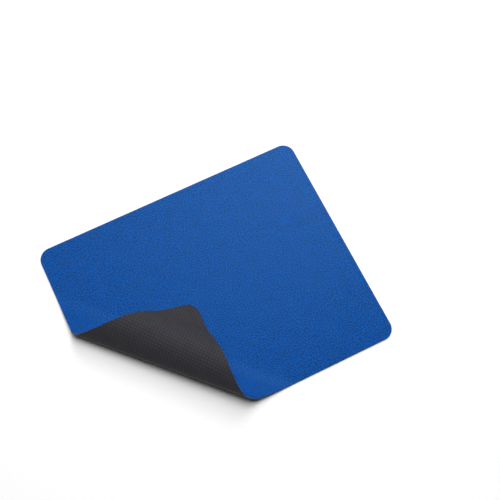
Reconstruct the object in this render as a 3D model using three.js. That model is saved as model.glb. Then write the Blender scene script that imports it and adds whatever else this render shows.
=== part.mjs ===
// A thin cloth mouse pad with one corner rolled up and back over it.
// Three layers are laminated edge to edge: a knitted cloth face, a bond film and a rubber base.
// Millimetres and degrees. The origin is the middle of the underside, +X runs along the long edge
// and +Z points up. The rolled corner is the one at -X, -Y.
import * as THREE from "three";

// The flat sheet, as it was cut.
const PAD_LENGTH = 220;
const PAD_WIDTH = 180;
const CORNER_RADIUS = 9.5;

// The layers, from the table up.
const RUBBER_THICKNESS = 0.8;
const FILM_THICKNESS = 0.1;
const CLOTH_THICKNESS = 0.3;

// The spine is the line on the flat sheet along which the roll is laid out, from the corner inwards.
const SPINE_ANGLE = 43.1;

// The sheet eases off the table in a wide bend.
const LIFT_RADIUS = 61.5;
const LIFT_ANGLE = 21.5;
const LIFT_FAN_ANGLE = 1.6;

// It turns up and over in a tight roll.
const ROLL_RADIUS = 7.3;
const ROLL_ANGLE = 93.6;
const ROLL_FAN_ANGLE = -3.1;

// The crest is a wider bend over the top, which brings the tip down to its height.
const CREST_RADIUS = 18.2;
const CREST_FAN_ANGLE = 6.2;
const TIP_HEIGHT = 6.6;

// The slope behind the crest is straight, and only the fold lines swing round along it.
const SLOPE_RUN = 6.6;
const SLOPE_FAN_ANGLE = -8.4;

// The tail bends back a little, and the tip beyond it is straight.
const TAIL_RADIUS = 22.3;
const TAIL_ANGLE = 39;
const TAIL_FAN_ANGLE = -13.6;
const TIP_RUN = 7.6;

// How finely the curved stretches are faceted.
const CORNER_STEP_COUNT = 6;
const LIFT_FOLD_COUNT = 4;
const ROLL_FOLD_COUNT = 19;
const CREST_FOLD_COUNT = 25;
const TAIL_FOLD_COUNT = 7;
const BISECTION_COUNT = 40;

const RIGHT_ANGLE = 90;
const HALF_TURN = 180;
const radians = THREE.MathUtils.degToRad;
const PAD_THICKNESS = RUBBER_THICKNESS + FILM_THICKNESS + CLOTH_THICKNESS;
const CORNER = new THREE.Vector2(-PAD_LENGTH / 2, -PAD_WIDTH / 2);
const SPINE = new THREE.Vector2(1, 0).rotateAround(new THREE.Vector2(), radians(SPINE_ANGLE));
const FIRST_AXIS_ANGLE = SPINE_ANGLE - RIGHT_ANGLE;

// A stretch that bends over the cloth face, or back where its angle is negative.
function bend(radius, angle, fan, count) {
  return { length: radius * radians(Math.abs(angle)), angle, fan, count };
}

// A stretch that runs straight, with no fold in it.
function straight(length, fan) {
  return { length, angle: 0, fan, count: 0 };
}

// The stretches of the roll in order, from where the sheet leaves the table.
function stretchesOf(crestAngle) {
  return [
    bend(LIFT_RADIUS, LIFT_ANGLE, LIFT_FAN_ANGLE, LIFT_FOLD_COUNT),
    bend(ROLL_RADIUS, ROLL_ANGLE, ROLL_FAN_ANGLE, ROLL_FOLD_COUNT),
    bend(CREST_RADIUS, crestAngle, CREST_FAN_ANGLE, CREST_FOLD_COUNT),
    straight(SLOPE_RUN, SLOPE_FAN_ANGLE),
    bend(TAIL_RADIUS, -TAIL_ANGLE, TAIL_FAN_ANGLE, TAIL_FOLD_COUNT),
  ];
}

// The straight fold lines that facet the roll, each with a point and a direction on the flat sheet.
function foldsOf(crestAngle) {
  const folds = [];
  let run = 0;
  let axisAngle = FIRST_AXIS_ANGLE;
  for (const { length, angle, fan, count } of stretchesOf(crestAngle)) {
    for (let i = 0; i < count; i++) {
      const share = (i + 0.5) / count;
      const along = radians(axisAngle + fan * share);
      folds.push({
        run: run + length * share,
        axis: new THREE.Vector3(Math.cos(along), Math.sin(along), 0),
        turn: radians(angle / count),
      });
    }
    run += length;
    axisAngle += fan;
  }
  const reach = run + TIP_RUN;
  for (const fold of folds) {
    const point = CORNER.clone().addScaledVector(SPINE, reach - fold.run);
    fold.point = new THREE.Vector3(point.x, point.y, 0);
  }
  return folds;
}

// Where the flat sheet goes beyond each fold: one matrix before the first, and one after each.
function placementsOf(folds) {
  const placements = [new THREE.Matrix4().makeTranslation(0, 0, PAD_THICKNESS / 2)];
  for (const { point, axis, turn } of folds) {
    const placement = placements.at(-1).clone();
    placement.multiply(new THREE.Matrix4().makeTranslation(point));
    placement.multiply(new THREE.Matrix4().makeRotationAxis(axis, -turn));
    placement.multiply(new THREE.Matrix4().makeTranslation(point.clone().negate()));
    placements.push(placement);
  }
  return placements;
}

// How high the rounded tip of the corner stands over the table.
function tipHeightOf(crestAngle) {
  const inset = CORNER_RADIUS * (1 - Math.SQRT1_2);
  const tip = new THREE.Vector3(CORNER.x + inset, CORNER.y + inset, 0);
  return tip.applyMatrix4(placementsOf(foldsOf(crestAngle)).at(-1)).z;
}

// The crest turns just as far as brings the tip down to its height.
function settledCrestAngle() {
  let least = 0;
  let most = HALF_TURN;
  for (let i = 0; i < BISECTION_COUNT; i++) {
    const middle = (least + most) / 2;
    if (tipHeightOf(middle) > TIP_HEIGHT) least = middle;
    else most = middle;
  }
  return least;
}

// The flat outline, anticlockwise, as points that lie on no fold yet.
function outline() {
  const x = PAD_LENGTH / 2 - CORNER_RADIUS;
  const y = PAD_WIDTH / 2 - CORNER_RADIUS;
  const shape = new THREE.Shape();
  shape.absarc(x, y, CORNER_RADIUS, 0, Math.PI / 2);
  shape.absarc(-x, y, CORNER_RADIUS, Math.PI / 2, Math.PI);
  shape.absarc(-x, -y, CORNER_RADIUS, Math.PI, 1.5 * Math.PI);
  shape.absarc(x, -y, CORNER_RADIUS, 1.5 * Math.PI, 2 * Math.PI);
  return shape.getPoints(CORNER_STEP_COUNT).map((p) => ({ x: p.x, y: p.y, fold: null }));
}

// Cuts a convex polygon along a fold: the part that stays, and the part beyond it.
function cut(polygon, fold, index) {
  const side = ({ x, y }) => (x - fold.point.x) * fold.axis.y - (y - fold.point.y) * fold.axis.x;
  const near = [];
  const beyond = [];
  polygon.forEach((from, i) => {
    const to = polygon[(i + 1) % polygon.length];
    const a = side(from);
    const b = side(to);
    (a > 0 ? beyond : near).push(from);
    if (a > 0 !== b > 0) {
      const t = a / (a - b);
      const x = THREE.MathUtils.lerp(from.x, to.x, t);
      const y = THREE.MathUtils.lerp(from.y, to.y, t);
      const crossing = { x, y, fold: index };
      near.push(crossing);
      beyond.push(crossing);
    }
  });
  return [near, beyond];
}

// The flat sheet as a row of convex strips, one on each side of every fold.
function stripsOf(folds) {
  const strips = [];
  let rest = outline();
  folds.forEach((fold, index) => {
    const [near, beyond] = cut(rest, fold, index);
    strips.push(near);
    rest = beyond;
  });
  strips.push(rest);
  return strips;
}

const FOLDS = foldsOf(settledCrestAngle());
const PLACEMENTS = placementsOf(FOLDS);
const STRIPS = stripsOf(FOLDS);
const UPS = PLACEMENTS.map((m) => new THREE.Vector3().setFromMatrixColumn(m, 2));

// A point of the sheet, at a height over its mid plane. On a fold the two strips share a mitre.
function placed({ x, y, fold }, strip, height) {
  const offset = UPS[strip].clone();
  if (fold !== null) {
    offset.copy(UPS[fold]).add(UPS[fold + 1]);
    offset.divideScalar(1 + UPS[fold].dot(UPS[fold + 1]));
  }
  const placement = PLACEMENTS[fold ?? strip];
  return new THREE.Vector3(x, y, 0).applyMatrix4(placement).addScaledVector(offset, height);
}

// One layer of the laminate, between two heights over the underside of the flat sheet.
function layer(name, bottom, top, material) {
  const low = bottom - PAD_THICKNESS / 2;
  const high = top - PAD_THICKNESS / 2;
  const corners = [];
  STRIPS.forEach((strip, k) => {
    const under = strip.map((point) => placed(point, k, low));
    const over = strip.map((point) => placed(point, k, high));
    for (let i = 1; i < strip.length - 1; i++) {
      corners.push(over[0], over[i], over[i + 1]);
      corners.push(under[0], under[i + 1], under[i]);
    }
    strip.forEach(({ fold }, i) => {
      const j = (i + 1) % strip.length;
      const onFold = fold !== null && fold === strip[j].fold;
      if (onFold) return;
      corners.push(under[i], under[j], over[j]);
      corners.push(under[i], over[j], over[i]);
    });
  });
  const geometry = new THREE.BufferGeometry().setFromPoints(corners);
  geometry.computeVertexNormals();
  const mesh = new THREE.Mesh(geometry, material);
  mesh.name = name;
  return mesh;
}

const rubber = new THREE.MeshStandardMaterial({ color: "#2b2a2d", roughness: 0.85, metalness: 0 });
const film = new THREE.MeshStandardMaterial({ color: "#a9a69b", roughness: 0.5, metalness: 0 });
const cloth = new THREE.MeshStandardMaterial({ color: "#1b539d", roughness: 0.95, metalness: 0 });

const FILM_BOTTOM = RUBBER_THICKNESS;
const CLOTH_BOTTOM = FILM_BOTTOM + FILM_THICKNESS;

const mousePad = new THREE.Group();
mousePad.add(
  layer("rubber_base", 0, FILM_BOTTOM, rubber),
  layer("bond_film", FILM_BOTTOM, CLOTH_BOTTOM, film),
  layer("top_fabric", CLOTH_BOTTOM, PAD_THICKNESS, cloth),
);

export default mousePad;
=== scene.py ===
# A thin cloth mouse pad with one corner rolled up and back over it, on a plain white ground.
# Each layer of the sheet is modelled flat, as it was cut, and then laid along one shared roll.
import math

import bmesh
import bpy
import numpy as np
from bpy.props import FloatProperty, FloatVectorProperty, IntProperty, PointerProperty
from bpy.types import Operator, Panel, PropertyGroup
from mathutils import Matrix, Vector


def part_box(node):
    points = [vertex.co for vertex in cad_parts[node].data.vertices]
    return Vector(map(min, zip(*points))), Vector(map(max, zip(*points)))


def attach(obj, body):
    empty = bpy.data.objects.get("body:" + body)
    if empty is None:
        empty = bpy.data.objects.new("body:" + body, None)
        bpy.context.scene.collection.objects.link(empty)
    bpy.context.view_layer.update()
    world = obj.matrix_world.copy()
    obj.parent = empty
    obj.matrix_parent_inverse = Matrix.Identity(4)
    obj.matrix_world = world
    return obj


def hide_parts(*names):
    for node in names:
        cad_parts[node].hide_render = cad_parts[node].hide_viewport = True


bl_info = {
    "name": "Rolled Mouse Pad",
    "version": (1, 0, 0),
    "blender": (4, 5, 0),
    "location": "3D View > Sidebar > Mouse Pad",
    "description": "Builds a cloth mouse pad with one corner rolled up and over",
    "category": "Add Mesh",
}

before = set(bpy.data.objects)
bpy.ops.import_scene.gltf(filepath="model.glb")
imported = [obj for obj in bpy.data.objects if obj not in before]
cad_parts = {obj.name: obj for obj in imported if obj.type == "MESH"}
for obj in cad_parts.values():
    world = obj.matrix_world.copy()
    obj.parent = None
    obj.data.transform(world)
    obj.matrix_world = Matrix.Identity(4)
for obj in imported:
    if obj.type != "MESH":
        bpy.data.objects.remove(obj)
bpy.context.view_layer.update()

BODY = "root"
RUBBER = "rubber_base"
FILM = "bond_film"
CLOTH = "top_fabric"

MILLIMETRE = 0.001
FLAT_MAP = "flat_cut"
RIGHT_ANGLE = math.pi / 2
UPRIGHT_LIMIT = 0.5
CUT_TOLERANCE = 0.001 * MILLIMETRE
GRID_TOLERANCE = 0.01
FLOOR_GAP = 0.05 * MILLIMETRE
SMOOTH_LIMIT = math.radians(40)
RIM_STEP_COUNT = 3
BISECTION_COUNT = 40
LEVEL_DIGITS = 3

# A Mix node's sockets for colours, which share their names with its sockets for numbers.
MIX_LOW = 6
MIX_HIGH = 7
MIX_RESULT = 2

# The shader node groups that the materials share.
KNIT = "Fine knit"
IMPRINT = "Twill imprint"
MOTTLE = "Mottle"

# The knit's stitches: how far a leg climbs across its half of a column, in rows, and how deep a
# loop dips, as a share of its height.
LEG_LEAN = 1.6
LOOP_DEPTH_SHARE = 0.3

# How finely the drift and the speckle of the grain break up, in octaves of noise past the first.
DRIFT_DETAIL = 3.0
SPECKLE_DETAIL = 2.0

# How strongly each mask shows in the cloth: in its colour, its height and its roughness.
CLOTH_SPECKLE = 4.2
CLOTH_DRIFT = 0.3
# Painted shade: the stitches' masks darken the cloth's colour in the dips between stitches and on
# every other column.
CLOTH_STITCH_SHADE = 0.3
CLOTH_SPECKLE_HEIGHT = 0.8
CLOTH_GLINTS = 1.6

# The same for the rubber, whose paler grains are the smoother ones.
# Painted light: the imprint's raised ridges are painted paler, as a highlight, and its pits darker, as
# shade.
RUBBER_RIDGE_LIGHT_AND_PIT_SHADE = 0.5
RUBBER_SPECKLE = 1.3
RUBBER_DRIFT = 0.3
RUBBER_SPECKLE_HEIGHT = 0.7
RUBBER_GLINTS = -0.2

# The middle roughness of each layer, and how much light the cloth and the rubber mirror.
CLOTH_ROUGHNESS = 0.25
RUBBER_ROUGHNESS = 0.55
FILM_ROUGHNESS = 0.5
CLOTH_MIRRORING = 0.4
RUBBER_MIRRORING = 0.1

BLACK = (0.0, 0.0, 0.0)
WHITE = (1.0, 1.0, 1.0)


class SheetSizes(PropertyGroup):
    """The flat sheet, as it was cut."""

    length: FloatProperty(
        name="Length",
        description="The long side of the flat sheet",
        default=2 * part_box(CLOTH)[1].x,
        unit="LENGTH",
    )
    width: FloatProperty(
        name="Width",
        description="The short side of the flat sheet",
        default=2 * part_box(CLOTH)[1].y,
        unit="LENGTH",
    )
    corner_radius: FloatProperty(
        name="Corner radius",
        description="The radius of the four die-cut corners",
        default=9.5 * MILLIMETRE,
        unit="LENGTH",
    )
    corner_steps: IntProperty(
        name="Corner steps",
        description="The number of straight cuts that round a corner",
        default=12,
    )
    rubber_thickness: FloatProperty(
        name="Rubber thickness",
        description="The thickness of the rubber base",
        default=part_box(FILM)[0].z,
        unit="LENGTH",
    )
    film_thickness: FloatProperty(
        name="Film thickness",
        description="The thickness of the bond film",
        default=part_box(CLOTH)[0].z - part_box(FILM)[0].z,
        unit="LENGTH",
    )
    cloth_thickness: FloatProperty(
        name="Cloth thickness",
        description="The thickness of the knitted cloth",
        default=0.3 * MILLIMETRE,
        unit="LENGTH",
    )
    rim_softness: FloatProperty(
        name="Rim softness",
        description="How far the cut rim of the cloth is rounded over",
        default=0.14 * MILLIMETRE,
        unit="LENGTH",
    )
    imprint_length: FloatProperty(
        name="Imprint pitch along",
        description="The spacing along the sheet of the threads pressed into the rubber",
        default=1.79 * MILLIMETRE,
        unit="LENGTH",
    )
    imprint_width: FloatProperty(
        name="Imprint pitch across",
        description="The spacing across the sheet of the threads pressed into the rubber",
        default=1.61 * MILLIMETRE,
        unit="LENGTH",
    )
    imprint_twill: FloatProperty(
        name="Imprint twill",
        description="How much of the imprint is diagonal ridges, where the rest is dots",
        default=0.5,
        subtype="FACTOR",
    )
    imprint_depth: FloatProperty(
        name="Imprint depth",
        description="The height of the woven imprint from its pits to its raised dots",
        default=0.13 * MILLIMETRE,
        unit="LENGTH",
    )


class RollSizes(PropertyGroup):
    """How the corner rolls up, from where the sheet leaves the ground to its tip."""

    spine_angle: FloatProperty(
        name="Spine direction",
        description="The line from the corner inwards along which the roll is laid out",
        default=math.radians(43.1),
        subtype="ANGLE",
    )
    lift_radius: FloatProperty(
        name="Lift radius",
        description="The wide bend that eases the sheet off the ground",
        default=61.5 * MILLIMETRE,
        unit="LENGTH",
    )
    lift_angle: FloatProperty(
        name="Lift turn",
        description="How far the lift turns",
        default=math.radians(21.5),
        subtype="ANGLE",
    )
    lift_fan: FloatProperty(
        name="Lift fan",
        description="How far the fold lines swing round along the lift",
        default=math.radians(1.6),
        subtype="ANGLE",
    )
    roll_radius: FloatProperty(
        name="Roll radius",
        description="The tight bend that turns the sheet up and over",
        default=7.3 * MILLIMETRE,
        unit="LENGTH",
    )
    roll_angle: FloatProperty(
        name="Roll turn",
        description="How far the tight bend turns",
        default=math.radians(93.6),
        subtype="ANGLE",
    )
    roll_fan: FloatProperty(
        name="Roll fan",
        description="How far the fold lines swing round along the tight bend",
        default=math.radians(-3.1),
        subtype="ANGLE",
    )
    crest_radius: FloatProperty(
        name="Crest radius",
        description="The wider bend over the top of the roll",
        default=18.2 * MILLIMETRE,
        unit="LENGTH",
    )
    crest_fan: FloatProperty(
        name="Crest fan",
        description="How far the fold lines swing round along the crest",
        default=math.radians(6.2),
        subtype="ANGLE",
    )
    tip_height: FloatProperty(
        name="Tip height",
        description="How high the tip of the corner stands over the ground",
        default=6.6 * MILLIMETRE,
        unit="LENGTH",
    )
    slope_run: FloatProperty(
        name="Slope run",
        description="The straight stretch behind the crest",
        default=6.6 * MILLIMETRE,
        unit="LENGTH",
    )
    slope_fan: FloatProperty(
        name="Slope fan",
        description="How far the fold lines swing round along the slope",
        default=math.radians(-8.4),
        subtype="ANGLE",
    )
    tail_radius: FloatProperty(
        name="Tail radius",
        description="The bend back before the tip",
        default=22.3 * MILLIMETRE,
        unit="LENGTH",
    )
    tail_angle: FloatProperty(
        name="Tail turn",
        description="How far the sheet bends back before the tip",
        default=math.radians(39),
        subtype="ANGLE",
    )
    tail_fan: FloatProperty(
        name="Tail fan",
        description="How far the fold lines swing round along the tail",
        default=math.radians(-13.6),
        subtype="ANGLE",
    )
    tip_run: FloatProperty(
        name="Tip run",
        description="The straight stretch from the tail to the corner",
        default=7.6 * MILLIMETRE,
        unit="LENGTH",
    )
    lift_folds: IntProperty(name="Lift folds", description="The folds that make the lift", default=8)
    roll_folds: IntProperty(
        name="Roll folds", description="The folds that make the tight bend", default=40
    )
    crest_folds: IntProperty(
        name="Crest folds", description="The folds that make the crest", default=50
    )
    tail_folds: IntProperty(name="Tail folds", description="The folds that make the tail", default=14)


class PadColours(PropertyGroup):
    """The colours of the layers, as linear light."""

    cloth: FloatVectorProperty(
        name="Cloth",
        description="The blue of the knitted face",
        default=(0.0008, 0.089, 0.446),
        subtype="COLOR",
    )
    # The cloth's darker blue: partly its own uneven tone of grain and drift, partly painted shade
    # between the stitches.
    cloth_dark_and_stitch_shade: FloatVectorProperty(
        name="Cloth shade",
        description="The darker blue between the stitches",
        default=(0.0002, 0.0121, 0.061),
        subtype="COLOR",
    )
    cloth_sheen: FloatVectorProperty(
        name="Cloth sheen",
        description="The tint of the light that glances off the dyed fibres",
        default=(0.216, 0.553, 1.0),
        subtype="COLOR",
    )
    # Painted highlight: beside the grain's uneven tone, this paler black goes on the raised ridges of
    # the imprint.
    rubber: FloatVectorProperty(
        name="Rubber",
        description="The black of the raised rubber",
        default=(0.0495, 0.0482, 0.0565),
        subtype="COLOR",
    )
    # Painted shade: beside the grain's uneven tone, this darker black goes in the pits of the imprint.
    rubber_pit_shade: FloatVectorProperty(
        name="Rubber pits",
        description="The darker black in the pits of the imprint",
        default=(0.012, 0.0117, 0.0133),
        subtype="COLOR",
    )
    film: FloatVectorProperty(
        name="Film",
        description="The pale line of the bond film",
        default=(0.30, 0.28, 0.25),
        subtype="COLOR",
    )
    film_shade: FloatVectorProperty(
        name="Film shade",
        description="The flecks in the film",
        default=(0.18, 0.168, 0.15),
        subtype="COLOR",
    )
    floor: FloatVectorProperty(
        name="Floor",
        description="The pale floor, as it lights the pad",
        default=(0.85, 0.85, 0.85),
        subtype="COLOR",
    )


class FinishSettings(PropertyGroup):
    """The scale of the knit, grain and relief, and how the cloth stretches at the roll."""

    wale: FloatProperty(
        name="Wale",
        description="The width of a column of stitches in the cloth",
        default=0.745 * MILLIMETRE,
        unit="LENGTH",
    )
    course: FloatProperty(
        name="Course",
        description="The height of a row of stitches in the cloth",
        default=0.54 * MILLIMETRE,
        unit="LENGTH",
    )
    cloth_grain: FloatProperty(
        name="Cloth grain",
        description="The size of the uneven stitches in the cloth",
        default=0.82 * MILLIMETRE,
        unit="LENGTH",
    )
    cloth_drift: FloatProperty(
        name="Cloth drift",
        description="The size of the paler and darker places in the cloth",
        default=9 * MILLIMETRE,
        unit="LENGTH",
    )
    cloth_relief: FloatProperty(
        name="Cloth relief",
        description="How deep the knit is",
        default=0.028 * MILLIMETRE,
        unit="LENGTH",
    )
    stretch_reach: FloatProperty(
        name="Stretch reach",
        description="How far past the start of the bend the cloth takes to stretch fully",
        default=16 * MILLIMETRE,
        unit="LENGTH",
    )
    stretch_roughness: FloatProperty(
        name="Stretch roughness",
        description="How much rougher, and so duller, the fully stretched cloth is",
        default=0.34,
    )
    rubber_grain: FloatProperty(
        name="Rubber grain",
        description="The size of the cells in the foamed rubber",
        default=0.5 * MILLIMETRE,
        unit="LENGTH",
    )
    rubber_drift: FloatProperty(
        name="Rubber drift",
        description="The size of the paler and darker places in the rubber",
        default=8 * MILLIMETRE,
        unit="LENGTH",
    )
    rubber_relief: FloatProperty(
        name="Rubber relief",
        description="How deep the threads and the grain are pressed into the rubber",
        default=0.06 * MILLIMETRE,
        unit="LENGTH",
    )
    film_grain: FloatProperty(
        name="Film grain",
        description="The size of the flecks in the cut film",
        default=0.8 * MILLIMETRE,
        unit="LENGTH",
    )
    film_relief: FloatProperty(
        name="Film relief",
        description="How uneven the cut film is",
        default=0.02 * MILLIMETRE,
        unit="LENGTH",
    )


class StageSettings(PropertyGroup):
    """The camera and the studio round the pad."""

    view_target: FloatVectorProperty(
        name="View target",
        description="The place on the ground in the middle of the picture",
        default=(0.0407, 0.0198, 0.0),
        subtype="TRANSLATION",
    )
    view_azimuth: FloatProperty(
        name="View direction",
        description="The camera's direction round the pad, from straight along the short side",
        default=math.radians(-26.13),
        subtype="ANGLE",
    )
    view_elevation: FloatProperty(
        name="View elevation",
        description="How steeply the camera looks down",
        default=math.radians(69.78),
        subtype="ANGLE",
    )
    view_distance: FloatProperty(
        name="View distance",
        description="From the camera to the view target",
        default=0.7324,
        unit="LENGTH",
    )
    lens: FloatProperty(
        name="Lens", description="The focal length in millimetres on the sensor", default=67.43
    )
    sensor: FloatProperty(
        name="Sensor", description="The width of the sensor in millimetres", default=36.0
    )
    floor_size: FloatProperty(
        name="Floor size", description="The side of the square floor", default=6.0, unit="LENGTH"
    )
    glow_start: FloatProperty(
        name="Glow start",
        description="How far from the pad the floor starts to fade into the white round it",
        default=0.3,
        unit="LENGTH",
    )
    glow_end: FloatProperty(
        name="Glow end",
        description="How far from the pad the floor is wholly white",
        default=0.9,
        unit="LENGTH",
    )
    lamp_azimuth: FloatProperty(
        name="Lamp direction",
        description="The direction of the top and back lights, given as the camera's is",
        default=math.radians(154),
        subtype="ANGLE",
    )
    middle_azimuth: FloatProperty(
        name="Middle light direction",
        description="The direction of the light that glances off the cloth, given in the same way",
        default=math.radians(140),
        subtype="ANGLE",
    )
    lamp_distance: FloatProperty(
        name="Lamp distance",
        description="From each soft light to the view target",
        default=1.2,
        unit="LENGTH",
    )
    lamp_size: FloatProperty(
        name="Lamp size",
        description="The side of each square soft light",
        default=0.7,
        unit="LENGTH",
    )
    top_elevation: FloatProperty(
        name="Top light height",
        description="How steeply the light over the pad shines down",
        default=math.radians(85),
        subtype="ANGLE",
    )
    middle_elevation: FloatProperty(
        name="Middle light height",
        description="How steeply the light that glances off the cloth shines down",
        default=math.radians(54),
        subtype="ANGLE",
    )
    back_elevation: FloatProperty(
        name="Back light height",
        description="How steeply the low light behind the pad shines down",
        default=math.radians(35),
        subtype="ANGLE",
    )
    top_power: FloatProperty(
        name="Top light", description="The power of the light over the pad, in watts", default=11.6
    )
    middle_power: FloatProperty(
        name="Middle light", description="The power of the glancing light, in watts", default=5.8
    )
    back_power: FloatProperty(
        name="Back light", description="The power of the low light behind, in watts", default=3.1
    )
    ambient: FloatProperty(
        name="Ambient light", description="The strength of the light from all round", default=0.03
    )


# The roll


def bend(radius, turn, fan, folds):
    """A stretch that bends over the cloth: its length, turn, fan and number of folds."""
    return radius * abs(turn), turn, fan, folds


def straight(length, fan):
    """A stretch that runs straight, with no fold in it."""
    return length, 0.0, fan, 0


def stretches_of(roll, crest_angle):
    """The stretches of the roll in order, from where the sheet leaves the ground."""
    return (
        bend(roll.lift_radius, roll.lift_angle, roll.lift_fan, roll.lift_folds),
        bend(roll.roll_radius, roll.roll_angle, roll.roll_fan, roll.roll_folds),
        bend(roll.crest_radius, crest_angle, roll.crest_fan, roll.crest_folds),
        straight(roll.slope_run, roll.slope_fan),
        bend(roll.tail_radius, -roll.tail_angle, roll.tail_fan, roll.tail_folds),
    )


class RollPath:
    """The fold lines on the flat sheet, and where the strips between them go."""

    def __init__(self, sheet, roll, crest_angle):
        thickness = sheet.rubber_thickness + sheet.film_thickness + sheet.cloth_thickness
        self.mid_height = thickness / 2
        corner = Vector((-sheet.length / 2, -sheet.width / 2, 0))
        spine = Vector((math.cos(roll.spine_angle), math.sin(roll.spine_angle), 0))
        axis_angle = roll.spine_angle - RIGHT_ANGLE
        run = 0.0
        # A fold of no turn at each end marks where the bend starts and stops.
        folds = [(run, axis_angle, 0.0)]
        for length, angle, fan, count in stretches_of(roll, crest_angle):
            for i in range(count):
                share = (i + 0.5) / count
                folds.append((run + length * share, axis_angle + fan * share, angle / count))
            run += length
            axis_angle += fan
        folds.append((run, axis_angle, 0.0))
        reach = run + roll.tip_run
        self.points = [corner + spine * (reach - at) for at, _, _ in folds]
        self.axes = [Vector((math.cos(along), math.sin(along), 0)) for _, along, _ in folds]
        self.sides = [Vector((axis.y, -axis.x, 0)) for axis in self.axes]
        self.placements = [Matrix.Translation((0, 0, self.mid_height))]
        for point, axis, (_, _, turn) in zip(self.points, self.axes, folds):
            there = Matrix.Translation(point)
            fold = there @ Matrix.Rotation(-turn, 4, axis) @ there.inverted()
            self.placements.append(self.placements[-1] @ fold)


def settled_path(sheet, roll):
    """The roll whose crest turns just as far as brings the rounded tip down to its height."""
    inset = sheet.corner_radius * (1 - math.sqrt(0.5))
    tip = Vector((inset - sheet.length / 2, inset - sheet.width / 2, 0))
    least = 0.0
    most = math.pi
    for _ in range(BISECTION_COUNT):
        middle = (least + most) / 2
        path = RollPath(sheet, roll, middle)
        if (path.placements[-1] @ tip).z > roll.tip_height:
            least = middle
        else:
            most = middle
    return path


def unit(vectors):
    """Each row as a vector of length one."""
    return vectors / np.linalg.norm(vectors, axis=1, keepdims=True)


def laid_along(path, flat):
    """Where points of the flat sheet go on the roll, and how the sheet is turned there."""
    points = np.array(path.points)[:, :2]
    sides = np.array(path.sides)[:, :2]
    placements = np.array(path.placements)
    turns = placements[:, :3, :3]
    beyond = flat[:, :2] @ sides.T - np.einsum("ij,ij->i", points, sides)
    strip = (beyond > 0).sum(axis=1)
    last = len(points) - 1
    before = np.clip(strip - 1, 0, last)
    after = np.clip(strip, 0, last)
    row = np.arange(len(flat))
    past = np.clip(beyond[row, before], 0, None)
    short = np.clip(-beyond[row, after], 0, None)
    share = (past / np.maximum(past + short, CUT_TOLERANCE))[:, None, None]
    at_folds = (turns[:-1] + turns[1:]) / 2
    turned = at_folds[before] * (1 - share) + at_folds[after] * share
    up = unit(turned[:, :, 2])
    along = turned[:, :, 0]
    along = unit(along - up * np.einsum("ij,ij->i", along, up)[:, None])
    across = np.cross(up, along)
    mid_plane = np.column_stack((flat[:, :2], np.zeros(len(flat)), np.ones(len(flat))))
    placed = np.einsum("nij,nj->ni", placements[strip], mid_plane)[:, :3]
    placed += up * (flat[:, 2] - path.mid_height)[:, None]
    return placed, np.stack((along, across, up), axis=2)


def roll_up(piece, path):
    """Lays a flat piece along the roll, and turns its normals with it."""
    mesh = piece.data
    flat = np.empty(len(mesh.vertices) * 3)
    mesh.vertices.foreach_get("co", flat)
    placed, turned = laid_along(path, flat.reshape(-1, 3))
    normals = np.array([corner.vector for corner in mesh.corner_normals])
    owners = np.empty(len(mesh.loops), int)
    mesh.loops.foreach_get("vertex_index", owners)
    normals = np.einsum("nij,nj->ni", turned[owners], normals)
    mesh.vertices.foreach_set("co", placed.ravel())
    mesh.update()
    mesh.normals_split_custom_set(normals.tolist())


# Modelling the flat layers


def deselect_all():
    """Clears the selection, in which the loaded frame starts."""
    bpy.ops.object.select_all(action="DESELECT")


def select_where(piece, kind, test):
    """In edit mode, selects only the vertices, edges or faces that pass a test."""
    bpy.ops.mesh.select_mode(type=kind)
    bpy.ops.mesh.select_all(action="DESELECT")
    cage = bmesh.from_edit_mesh(piece.data)
    for element in {"VERT": cage.verts, "EDGE": cage.edges, "FACE": cage.faces}[kind]:
        if test(element):
            element.select_set(True)
    cage.select_flush_mode()
    bmesh.update_edit_mesh(piece.data)


def is_upright(edge):
    """Whether an edge runs up and down."""
    low, high = (vertex.co.z for vertex in edge.verts)
    return abs(high - low) > CUT_TOLERANCE


def show_only(piece, kind, test):
    """In edit mode, hides all but the elements that pass a test, so that cuts reach only those."""
    select_where(piece, kind, test)
    bpy.ops.mesh.hide(unselected=True)


def cut_along_folds(path):
    """In edit mode, cuts all that shows along every fold line of the roll."""
    for point, side in zip(path.points, path.sides):
        bpy.ops.mesh.select_all(action="SELECT")
        bpy.ops.mesh.bisect(plane_co=point, plane_no=side, threshold=CUT_TOLERANCE)


def map_flat(piece, sheet):
    """Gives the piece a UV map of its place on the flat cut, in shares of the sheet's length."""
    mesh = piece.data
    flat = np.empty(len(mesh.vertices) * 3)
    mesh.vertices.foreach_get("co", flat)
    owners = np.empty(len(mesh.loops), int)
    mesh.loops.foreach_get("vertex_index", owners)
    start = np.array((sheet.length / 2, sheet.width / 2))
    places = (flat.reshape(-1, 3)[owners, :2] + start) / sheet.length
    mesh.uv_layers.new(name=FLAT_MAP)
    mesh.uv_layers[FLAT_MAP].uv.foreach_set("vector", places.astype(np.float32).ravel())


def add_slab(name, sheet, bottom, top):
    """Starts a flat layer between two heights, with its corners rounded, in edit mode."""
    deselect_all()
    bpy.ops.mesh.primitive_cube_add(
        size=1,
        location=(0, 0, (bottom + top) / 2),
        scale=(sheet.length, sheet.width, top - bottom),
    )
    slab = bpy.context.active_object
    slab.name = slab.data.name = name + "_piece"
    bpy.ops.object.transform_apply(location=True, rotation=False, scale=True)
    bpy.ops.object.mode_set(mode="EDIT")
    select_where(slab, "EDGE", is_upright)
    bpy.ops.mesh.bevel(offset=sheet.corner_radius, segments=sheet.corner_steps)
    return slab


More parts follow.
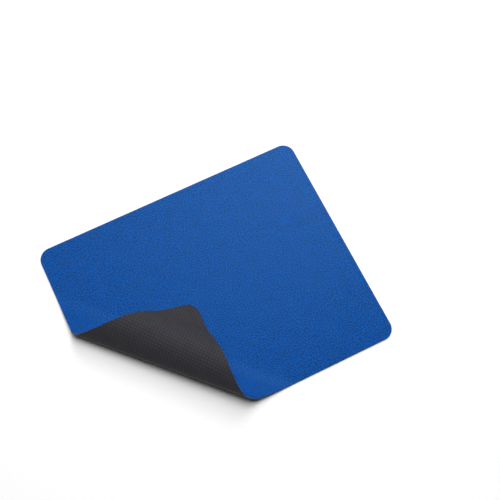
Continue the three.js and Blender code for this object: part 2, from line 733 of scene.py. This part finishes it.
def weight_normals():
    """Keeps the wide faces flat and lets only the rounded rim shade smoothly."""
    bpy.ops.object.shade_smooth_by_angle(angle=SMOOTH_LIMIT)
    bpy.ops.object.modifier_add(type="WEIGHTED_NORMAL")
    modifier = bpy.context.active_object.modifiers[-1]
    modifier.keep_sharp = True
    bpy.ops.object.modifier_apply(modifier=modifier.name)


def finish_layer(piece, sheet, path, node, material):
    """Shades, maps and rolls up a flat layer, and puts it in the place of its CAD node."""
    bpy.ops.object.mode_set(mode="OBJECT")
    weight_normals()
    map_flat(piece, sheet)
    roll_up(piece, path)
    piece.data.materials.clear()
    piece.data.materials.append(material)
    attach(piece, BODY)
    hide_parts(node)


def add_cloth(sheet, path):
    """The knitted cloth: a slab with a softened rim, cut into strips along the folds."""
    bottom = sheet.rubber_thickness + sheet.film_thickness
    top = bottom + sheet.cloth_thickness
    cloth = add_slab(CLOTH, sheet, bottom, top)

    def is_top_rim(edge):
        high = all(abs(vertex.co.z - top) < CUT_TOLERANCE for vertex in edge.verts)
        return high and any(abs(face.normal.z) < UPRIGHT_LIMIT for face in edge.link_faces)

    select_where(cloth, "EDGE", is_top_rim)
    bpy.ops.mesh.bevel(offset=sheet.rim_softness, segments=RIM_STEP_COUNT)
    cut_along_folds(path)
    return cloth


def add_film(sheet, path):
    """The bond film: a thin slab, cut into strips along the folds."""
    bottom = sheet.rubber_thickness
    film = add_slab(FILM, sheet, bottom, bottom + sheet.film_thickness)
    cut_along_folds(path)
    return film


def round_corners(piece, sheet):
    """In edit mode, rounds the four corners of a flat grid by straight cuts."""
    radius = sheet.corner_radius
    step = RIGHT_ANGLE / sheet.corner_steps
    depth = radius * math.cos(step / 2)
    margin = max(sheet.imprint_length, sheet.imprint_width)
    for quarter in range(4):
        facing = (quarter + 0.5) * RIGHT_ANGLE
        x_side = math.copysign(1, math.cos(facing))
        y_side = math.copysign(1, math.sin(facing))
        centre_x = x_side * (sheet.length / 2 - radius)
        centre_y = y_side * (sheet.width / 2 - radius)
        centre = Vector((centre_x, centre_y, 0))

        def is_near(vertex):
            offset = vertex.co - centre
            return offset.x * x_side > -margin and offset.y * y_side > -margin

        show_only(piece, "VERT", is_near)
        for i in range(sheet.corner_steps):
            angle = quarter * RIGHT_ANGLE + (i + 0.5) * step
            outward = Vector((math.cos(angle), math.sin(angle), 0))
            bpy.ops.mesh.select_all(action="SELECT")
            bpy.ops.mesh.bisect(
                plane_co=centre + outward * depth,
                plane_no=outward,
                clear_outer=True,
                threshold=CUT_TOLERANCE,
            )
        bpy.ops.mesh.reveal()


def thread_counts(sheet):
    """How many threads of the imprint fit along and across the sheet."""
    return round(sheet.length / sheet.imprint_length), round(sheet.width / sheet.imprint_width)


def press_imprint(rubber, sheet):
    """In edit mode, moves the underside's grid out to dots and ridges, and in to pits."""
    threads, picks = thread_counts(sheet)
    middle = sheet.rubber_thickness / 2

    def level(vertex):
        """1 on a raised dot, -1 in a pit, a share of it half way on, and 0 on a straight thread."""
        across = 2 * (vertex.co.x / sheet.length * threads)
        along = 2 * (vertex.co.y / sheet.width * picks)
        column = round(across)
        row = round(along)
        off_grid = max(abs(across - column), abs(along - row))
        if vertex.co.z > middle or off_grid >= GRID_TOLERANCE or (row + column) % 2:
            return 0
        ridge = math.cos((row - column) * RIGHT_ANGLE)
        dot = math.cos((row + column) * RIGHT_ANGLE)
        return round(sheet.imprint_twill * ridge + (1 - sheet.imprint_twill) * dot, LEVEL_DIGITS)

    cage = bmesh.from_edit_mesh(rubber.data)
    levels = [level(vertex) for vertex in cage.verts]
    for height in sorted(set(levels) - {0}):
        select_where(rubber, "VERT", lambda vertex: levels[vertex.index] == height)
        bpy.ops.transform.translate(value=(0, 0, -height * sheet.imprint_depth / 2))


def add_rubber(sheet, path):
    """The rubber base: a grid with a woven imprint pressed into its underside."""
    half_depth = sheet.imprint_depth / 2
    threads, picks = thread_counts(sheet)
    deselect_all()
    bpy.ops.mesh.primitive_grid_add(
        x_subdivisions=2 * threads,
        y_subdivisions=2 * picks,
        size=1,
        location=(0, 0, half_depth),
    )
    rubber = bpy.context.active_object
    rubber.name = rubber.data.name = RUBBER + "_piece"
    bpy.ops.transform.resize(value=(sheet.length, sheet.width, 1))
    bpy.ops.object.transform_apply(location=True, rotation=False, scale=True)
    bpy.ops.object.mode_set(mode="EDIT")
    round_corners(rubber, sheet)
    select_where(rubber, "EDGE", lambda edge: edge.is_boundary)
    rise = (0, 0, sheet.rubber_thickness - half_depth)
    bpy.ops.mesh.extrude_edges_move(TRANSFORM_OT_translate={"value": rise})
    bpy.ops.mesh.edge_face_add()
    bpy.ops.mesh.hide(unselected=True)
    cut_along_folds(path)
    bpy.ops.mesh.reveal()
    press_imprint(rubber, sheet)
    bpy.ops.mesh.select_all(action="SELECT")
    bpy.ops.mesh.normals_make_consistent(inside=False)
    return rubber


# Materials


def calc(tree, operation, *operands):
    """A Math node. Each operand is a number or another node's output."""
    node = tree.nodes.new("ShaderNodeMath")
    node.operation = operation
    for socket, operand in zip(node.inputs, operands):
        if isinstance(operand, bpy.types.NodeSocket):
            tree.links.new(operand, socket)
        else:
            socket.default_value = operand
    return node.outputs[0]


def tone_of(tree, *masks):
    """A tone about one half, from masks about one half, each with how strongly it shows."""
    tone = (1 - sum(strength for _, strength in masks)) / 2
    for mask, strength in masks:
        tone = calc(tree, "MULTIPLY_ADD", mask, strength, tone)
    return tone


def varied(tree, middle, mask, strength):
    """A value about a middle, from a mask about one half, with how strongly the mask shows."""
    return calc(tree, "MULTIPLY_ADD", mask, strength, middle - strength / 2)


def eased(tree, value, low, high):
    """A share that eases from 0 to 1 as a value goes from low to high."""
    ramp = tree.nodes.new("ShaderNodeMapRange")
    ramp.interpolation_type = "SMOOTHSTEP"
    tree.links.new(value, ramp.inputs["Value"])
    ramp.inputs["From Min"].default_value = low
    ramp.inputs["From Max"].default_value = high
    return ramp.outputs["Result"]


def mixed_colour(tree, share, low, high):
    """A colour between two, by a share that varies over the surface."""
    node = tree.nodes.new("ShaderNodeMix")
    node.data_type = "RGBA"
    tree.links.new(share, node.inputs["Factor"])
    node.inputs[MIX_LOW].default_value = (*low, 1)
    node.inputs[MIX_HIGH].default_value = (*high, 1)
    return node.outputs[MIX_RESULT]


def new_group(name, inputs, outputs):
    """An empty node group with a vector input named Place, number inputs and number outputs."""
    tree = bpy.data.node_groups.new(name, "ShaderNodeTree")
    tree.interface.new_socket("Place", in_out="INPUT", socket_type="NodeSocketVector")
    for socket, default in inputs.items():
        made = tree.interface.new_socket(socket, in_out="INPUT", socket_type="NodeSocketFloat")
        made.default_value = default
    for socket in outputs:
        tree.interface.new_socket(socket, in_out="OUTPUT", socket_type="NodeSocketFloat")
    return tree, tree.nodes.new("NodeGroupInput").outputs, tree.nodes.new("NodeGroupOutput").inputs


def knit_group():
    """Fine jersey: columns of stitches whose legs lean together in a V, with a mask of painted shade
    that darkens every other column, as if it lay lower.
    """
    sizes = {"Wale": MILLIMETRE, "Course": MILLIMETRE}
    tree, given, out = new_group(KNIT, sizes, ["Height", "Rib shade"])
    place = tree.nodes.new("ShaderNodeSeparateXYZ")
    tree.links.new(given["Place"], place.inputs[0])
    column = calc(tree, "DIVIDE", place.outputs["X"], given["Wale"])
    row = calc(tree, "DIVIDE", place.outputs["Y"], given["Course"])
    from_middle = calc(tree, "PINGPONG", column, 0.5)
    leg = calc(tree, "SINE", calc(tree, "MULTIPLY", from_middle, 2 * math.pi))
    leaned = calc(tree, "MULTIPLY_ADD", from_middle, LEG_LEAN, row)
    loop = calc(tree, "SINE", calc(tree, "MULTIPLY", leaned, 2 * math.pi))
    rounded = calc(tree, "MULTIPLY_ADD", loop, LOOP_DEPTH_SHARE, 1 - LOOP_DEPTH_SHARE)
    tree.links.new(calc(tree, "MULTIPLY", leg, rounded), out["Height"])
    # Painted shade: this mask is used only in colour, where it darkens every other column.
    tree.links.new(calc(tree, "PINGPONG", column, 1.0), out["Rib shade"])
    return tree


def imprint_group():
    """A twill pressed into rubber: dots that run together in diagonal ridges, and its threads."""
    sizes = {"Along": MILLIMETRE, "Across": MILLIMETRE, "Twill": 0.5}
    tree, given, out = new_group(IMPRINT, sizes, ["Raised", "Threads"])
    place = tree.nodes.new("ShaderNodeSeparateXYZ")
    tree.links.new(given["Place"], place.inputs[0])
    turns = []
    for axis, pitch in (("X", "Along"), ("Y", "Across")):
        thread = calc(tree, "DIVIDE", place.outputs[axis], given[pitch])
        turns.append(calc(tree, "MULTIPLY", thread, math.pi))
    across, along = turns
    ridge = calc(tree, "COSINE", calc(tree, "SUBTRACT", along, across))
    dot = calc(tree, "COSINE", calc(tree, "ADD", along, across))
    more = calc(tree, "MULTIPLY", calc(tree, "SUBTRACT", ridge, dot), given["Twill"])
    height = calc(tree, "ADD", dot, more)
    tree.links.new(calc(tree, "MULTIPLY_ADD", height, 0.5, 0.5), out["Raised"])
    pillows = [calc(tree, "ABSOLUTE", calc(tree, "COSINE", turn)) for turn in turns]
    tree.links.new(calc(tree, "MULTIPLY", *pillows), out["Threads"])
    return tree


def mottle_group():
    """Uneven grain: a broad drift of tone and a fine speckle, both about one half."""
    sizes = {"Broad": 10 * MILLIMETRE, "Fine": MILLIMETRE}
    tree, given, out = new_group(MOTTLE, sizes, ["Drift", "Speckle"])
    parts = (("Broad", "Drift", DRIFT_DETAIL), ("Fine", "Speckle", SPECKLE_DETAIL))
    for socket, output, detail in parts:
        noise = tree.nodes.new("ShaderNodeTexNoise")
        noise.inputs["Detail"].default_value = detail
        tree.links.new(given["Place"], noise.inputs["Vector"])
        tree.links.new(calc(tree, "DIVIDE", 1.0, given[socket]), noise.inputs["Scale"])
        tree.links.new(noise.outputs["Fac"], out[output])
    return tree


def use_group(tree, name, maker, place, **values):
    """Puts a node group into a material, building it the first time."""
    node = tree.nodes.new("ShaderNodeGroup")
    node.node_tree = bpy.data.node_groups.get(name) or maker()
    tree.links.new(place, node.inputs["Place"])
    for socket, value in values.items():
        node.inputs[socket].default_value = value
    return node.outputs


def new_material(name, sheet):
    """A material, its node tree, its shader, and the place on the flat cut in metres."""
    material = bpy.data.materials.new(name)
    material.use_nodes = True
    tree = material.node_tree
    flat_map = tree.nodes.new("ShaderNodeUVMap")
    flat_map.uv_map = FLAT_MAP
    metres = tree.nodes.new("ShaderNodeMapping")
    metres.inputs["Scale"].default_value = (sheet.length,) * 3
    metres.inputs["Location"].default_value = (-sheet.length / 2, -sheet.width / 2, 0)
    tree.links.new(flat_map.outputs["UV"], metres.inputs["Vector"])
    return material, tree, tree.nodes["Principled BSDF"], metres.outputs["Vector"]


def add_bump(tree, shader, height, depth):
    """Lets a height, from 0 to 1, press into the surface by a depth."""
    bump = tree.nodes.new("ShaderNodeBump")
    bump.inputs["Distance"].default_value = depth
    tree.links.new(height, bump.inputs["Height"])
    tree.links.new(bump.outputs["Normal"], shader.inputs["Normal"])


def stretch_share(tree, place, path, reach):
    """How far the cloth is stretched: 0 where it lies flat, and 1 from a reach past the first fold."""
    side = path.sides[0]
    start = side.dot(path.points[0])
    flat = tree.nodes.new("ShaderNodeSeparateXYZ")
    tree.links.new(place, flat.inputs[0])
    across = calc(tree, "MULTIPLY", flat.outputs["X"], side.x)
    across = calc(tree, "MULTIPLY_ADD", flat.outputs["Y"], side.y, across)
    return eased(tree, across, start, start + reach)


def cloth_material(sheet, path, colours, finish):
    """Blue knit, uneven in tone, with painted shade between its stitches, and a sheen of its own
    colour that dulls where it is stretched.
    """
    material, tree, shader, place = new_material("Knitted cloth", sheet)
    knit = use_group(tree, KNIT, knit_group, place, Wale=finish.wale, Course=finish.course)
    mottle = use_group(
        tree, MOTTLE, mottle_group, place, Broad=finish.cloth_drift, Fine=finish.cloth_grain
    )
    tone = tone_of(
        tree,
        (mottle["Speckle"], CLOTH_SPECKLE),
        (mottle["Drift"], CLOTH_DRIFT),
        # Painted shade: the stitches' masks darken the colour between the stitches and on every other
        # column.
        (knit["Rib shade"], CLOTH_STITCH_SHADE),
        (knit["Height"], CLOTH_STITCH_SHADE),
    )
    colour = mixed_colour(tree, tone, colours.cloth_dark_and_stitch_shade, colours.cloth)
    tree.links.new(colour, shader.inputs["Base Color"])
    stretched = stretch_share(tree, place, path, finish.stretch_reach)
    roughness = varied(tree, CLOTH_ROUGHNESS, mottle["Speckle"], CLOTH_GLINTS)
    roughness = calc(tree, "MULTIPLY_ADD", stretched, finish.stretch_roughness, roughness)
    tree.links.new(roughness, shader.inputs["Roughness"])
    shader.inputs["Specular IOR Level"].default_value = CLOTH_MIRRORING
    shader.inputs["Specular Tint"].default_value = (*colours.cloth_sheen, 1)
    height = tone_of(tree, (mottle["Speckle"], CLOTH_SPECKLE_HEIGHT), (knit["Height"], 1.0))
    add_bump(tree, shader, height, finish.cloth_relief)
    return material


def rubber_material(sheet, colours, finish):
    """Matt black foamed rubber, with a painted highlight on the raised ridges of its imprint and
    painted shade in its pits.
    """
    material, tree, shader, place = new_material("Imprinted rubber", sheet)
    threads, picks = thread_counts(sheet)
    imprint = use_group(
        tree,
        IMPRINT,
        imprint_group,
        place,
        Along=sheet.length / threads,
        Across=sheet.width / picks,
        Twill=sheet.imprint_twill,
    )
    mottle = use_group(
        tree, MOTTLE, mottle_group, place, Broad=finish.rubber_drift, Fine=finish.rubber_grain
    )
    tone = tone_of(
        tree,
        # Painted light: the imprint's raised mask lightens the ridges as a highlight and darkens the
        # pits as shade.
        (imprint["Raised"], RUBBER_RIDGE_LIGHT_AND_PIT_SHADE),
        (mottle["Speckle"], RUBBER_SPECKLE),
        (mottle["Drift"], RUBBER_DRIFT),
    )
    colour = mixed_colour(tree, tone, colours.rubber_pit_shade, colours.rubber)
    tree.links.new(colour, shader.inputs["Base Color"])
    roughness = varied(tree, RUBBER_ROUGHNESS, mottle["Speckle"], RUBBER_GLINTS)
    tree.links.new(roughness, shader.inputs["Roughness"])
    shader.inputs["Specular IOR Level"].default_value = RUBBER_MIRRORING
    height = tone_of(tree, (mottle["Speckle"], RUBBER_SPECKLE_HEIGHT), (imprint["Threads"], 1.0))
    add_bump(tree, shader, height, finish.rubber_relief)
    return material


def film_material(sheet, colours, finish):
    """A thin line of dried adhesive in the cut edge."""
    material, tree, shader, place = new_material("Bond film", sheet)
    mottle = use_group(
        tree, MOTTLE, mottle_group, place, Broad=finish.rubber_drift, Fine=finish.film_grain
    )
    colour = mixed_colour(tree, mottle["Speckle"], colours.film_shade, colours.film)
    tree.links.new(colour, shader.inputs["Base Color"])
    shader.inputs["Roughness"].default_value = FILM_ROUGHNESS
    add_bump(tree, shader, mottle["Drift"], finish.film_relief)
    return material


# The stage


def seen_directly(tree):
    """Whether light goes straight to the camera, or to it through a gloss or a glass."""
    rays = tree.nodes.new("ShaderNodeLightPath").outputs
    either = calc(tree, "MAXIMUM", rays["Is Camera Ray"], rays["Is Glossy Ray"])
    return calc(tree, "MAXIMUM", either, rays["Is Transmission Ray"])


def direction(azimuth, elevation):
    """From the pad towards something at an azimuth, as a view is given, and an elevation."""
    return Vector(
        (
            math.sin(azimuth) * math.cos(elevation),
            -math.cos(azimuth) * math.cos(elevation),
            math.sin(elevation),
        )
    )


def add_glow(tree, shader, stage):
    """Fades the floor, where it is seen directly, into the white round it past the lamps' reach."""
    away = tree.nodes.new("ShaderNodeVectorMath")
    away.operation = "LENGTH"
    tree.links.new(tree.nodes.new("ShaderNodeTexCoord").outputs["Object"], away.inputs[0])
    far = eased(tree, away.outputs["Value"], stage.glow_start, stage.glow_end)
    glow = calc(tree, "MULTIPLY", far, seen_directly(tree))
    tree.links.new(mixed_colour(tree, glow, BLACK, WHITE), shader.inputs["Emission Color"])
    shader.inputs["Emission Strength"].default_value = 1.0


def add_floor(stage, colours):
    """A white floor that keeps the pad's shadow, a hair under it."""
    deselect_all()
    bpy.ops.mesh.primitive_plane_add(size=stage.floor_size, location=(0, 0, -FLOOR_GAP))
    floor = bpy.context.active_object
    floor.name = floor.data.name = "floor"
    bpy.ops.object.transform_apply(location=True, rotation=False, scale=False)
    material = bpy.data.materials.new("White floor")
    material.use_nodes = True
    tree = material.node_tree
    shader = tree.nodes["Principled BSDF"]
    shader.inputs["Roughness"].default_value = 1.0
    shader.inputs["Specular IOR Level"].default_value = 0.0
    colour = mixed_colour(tree, seen_directly(tree), colours.floor, WHITE)
    tree.links.new(colour, shader.inputs["Base Color"])
    add_glow(tree, shader, stage)
    floor.data.materials.append(material)


def add_world(stage):
    """Soft light from all round, which shows as white behind everything."""
    world = bpy.data.worlds.new("Studio")
    bpy.context.scene.world = world
    world.use_nodes = True
    tree = world.node_tree
    background = tree.nodes["Background"]
    background.inputs["Color"].default_value = (*WHITE, 1)
    strength = calc(tree, "MULTIPLY_ADD", seen_directly(tree), 1 - stage.ambient, stage.ambient)
    tree.links.new(strength, background.inputs["Strength"])


def add_lamp(stage, name, towards, power, glances):
    """A square soft light that faces the pad, and that a sheen mirrors or not."""
    deselect_all()
    bpy.ops.object.light_add(
        type="AREA", location=Vector(stage.view_target) + towards * stage.lamp_distance
    )
    lamp = bpy.context.active_object
    lamp.name = lamp.data.name = name
    lamp.rotation_euler = towards.to_track_quat("Z", "Y").to_euler()
    lamp.data.size = stage.lamp_size
    lamp.data.energy = power
    lamp.visible_camera = False
    lamp.visible_glossy = glances


def add_camera(stage):
    """The camera of the photograph."""
    towards = direction(stage.view_azimuth, stage.view_elevation)
    deselect_all()
    bpy.ops.object.camera_add(location=Vector(stage.view_target) + towards * stage.view_distance)
    camera = bpy.context.active_object
    camera.name = camera.data.name = "camera"
    camera.rotation_euler = towards.to_track_quat("Z", "Y").to_euler()
    camera.data.lens = stage.lens
    camera.data.sensor_width = stage.sensor
    bpy.context.scene.camera = camera


class MOUSEPAD_OT_stage(Operator):
    """Set up the floor, the soft lights and the camera"""

    bl_idname = "mousepad.stage"
    bl_label = "Stage"

    def execute(self, context):
        stage = context.scene.mousepad_stage
        add_camera(stage)
        add_floor(stage, context.scene.mousepad_colours)
        add_world(stage)
        overhead = direction(stage.lamp_azimuth, stage.top_elevation)
        beside = direction(stage.middle_azimuth, stage.middle_elevation)
        behind = direction(stage.lamp_azimuth, stage.back_elevation)
        add_lamp(stage, "top_light", overhead, stage.top_power, glances=False)
        add_lamp(stage, "middle_light", beside, stage.middle_power, glances=True)
        add_lamp(stage, "back_light", behind, stage.back_power, glances=False)
        context.scene.view_settings.view_transform = "Standard"
        return {"FINISHED"}


class MOUSEPAD_OT_rubber_base(Operator):
    """Add the rubber base with its woven imprint"""

    bl_idname = "mousepad.rubber_base"
    bl_label = "Rubber Base"

    def execute(self, context):
        scene = context.scene
        sheet = scene.mousepad_sheet
        path = settled_path(sheet, scene.mousepad_roll)
        rubber = add_rubber(sheet, path)
        material = rubber_material(sheet, scene.mousepad_colours, scene.mousepad_finish)
        finish_layer(rubber, sheet, path, RUBBER, material)
        return {"FINISHED"}


class MOUSEPAD_OT_bond_film(Operator):
    """Add the film that bonds the cloth to the rubber"""

    bl_idname = "mousepad.bond_film"
    bl_label = "Bond Film"

    def execute(self, context):
        scene = context.scene
        sheet = scene.mousepad_sheet
        path = settled_path(sheet, scene.mousepad_roll)
        film = add_film(sheet, path)
        material = film_material(sheet, scene.mousepad_colours, scene.mousepad_finish)
        finish_layer(film, sheet, path, FILM, material)
        return {"FINISHED"}


class MOUSEPAD_OT_top_fabric(Operator):
    """Add the knitted cloth face"""

    bl_idname = "mousepad.top_fabric"
    bl_label = "Top Fabric"

    def execute(self, context):
        scene = context.scene
        sheet = scene.mousepad_sheet
        path = settled_path(sheet, scene.mousepad_roll)
        cloth = add_cloth(sheet, path)
        material = cloth_material(sheet, path, scene.mousepad_colours, scene.mousepad_finish)
        finish_layer(cloth, sheet, path, CLOTH, material)
        return {"FINISHED"}


class MOUSEPAD_PT_panel(Panel):
    """The mouse pad's sizes, colours and pieces"""

    bl_idname = "MOUSEPAD_PT_panel"
    bl_label = "Rolled Mouse Pad"
    bl_space_type = "VIEW_3D"
    bl_region_type = "UI"
    bl_category = "Mouse Pad"

    def draw(self, context):
        for operator in OPERATORS:
            self.layout.operator(operator.bl_idname)
        for settings in SETTINGS:
            group = getattr(context.scene, settings)
            box = self.layout.box()
            for name in group.bl_rna.properties.keys():
                if name not in ("name", "rna_type"):
                    box.prop(group, name)


OPERATORS = (
    MOUSEPAD_OT_rubber_base,
    MOUSEPAD_OT_bond_film,
    MOUSEPAD_OT_top_fabric,
    MOUSEPAD_OT_stage,
)
SETTINGS = {
    "mousepad_sheet": SheetSizes,
    "mousepad_roll": RollSizes,
    "mousepad_colours": PadColours,
    "mousepad_finish": FinishSettings,
    "mousepad_stage": StageSettings,
}


def register():
    for cls in (*SETTINGS.values(), *OPERATORS, MOUSEPAD_PT_panel):
        bpy.utils.register_class(cls)
    for name, cls in SETTINGS.items():
        setattr(bpy.types.Scene, name, PointerProperty(type=cls))


def unregister():
    for name in SETTINGS:
        delattr(bpy.types.Scene, name)
    for cls in (MOUSEPAD_PT_panel, *OPERATORS, *SETTINGS.values()):
        bpy.utils.unregister_class(cls)


def main():
    register()
    bpy.ops.mousepad.rubber_base()
    bpy.ops.mousepad.bond_film()
    bpy.ops.mousepad.top_fabric()
    bpy.ops.mousepad.stage()


if __name__ == "__main__":
    main()
